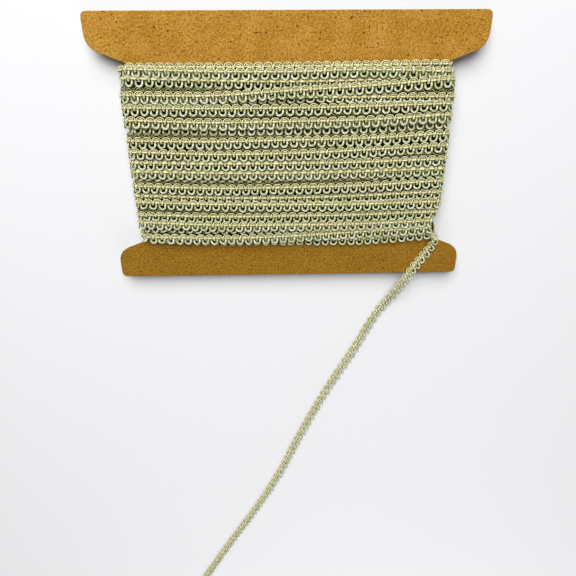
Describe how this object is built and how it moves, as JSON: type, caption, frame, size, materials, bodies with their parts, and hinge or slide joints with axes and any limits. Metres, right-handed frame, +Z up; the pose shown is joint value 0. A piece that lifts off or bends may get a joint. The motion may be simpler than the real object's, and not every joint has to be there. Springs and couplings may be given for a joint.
{
  "type": "gimp braid trim wound on a card",
  "caption": "Narrow looped gimp braid wound in uneven overlapping courses round a flanged hardboard card, with a loose end lying free, for trimming upholstery and lampshades.",
  "frame": {"origin": "on the surface that the back of the winding rests on, under the middle of the card", "axes": "+X along the card's width, +Y towards its upper flange, +Z up, out of its front"},
  "size_m": [0.305, 0.6467, 0.02],
  "materials": {
    "hardboard": "matt brown hardboard with dark flecks",
    "braid": "sage cord loops with a soft sheen and a gold centre thread"
  },
  "bodies": {
    "root": {"card": "hardboard", "winding": "braid", "loose_end": "braid"}
  },
  "joints": []
}
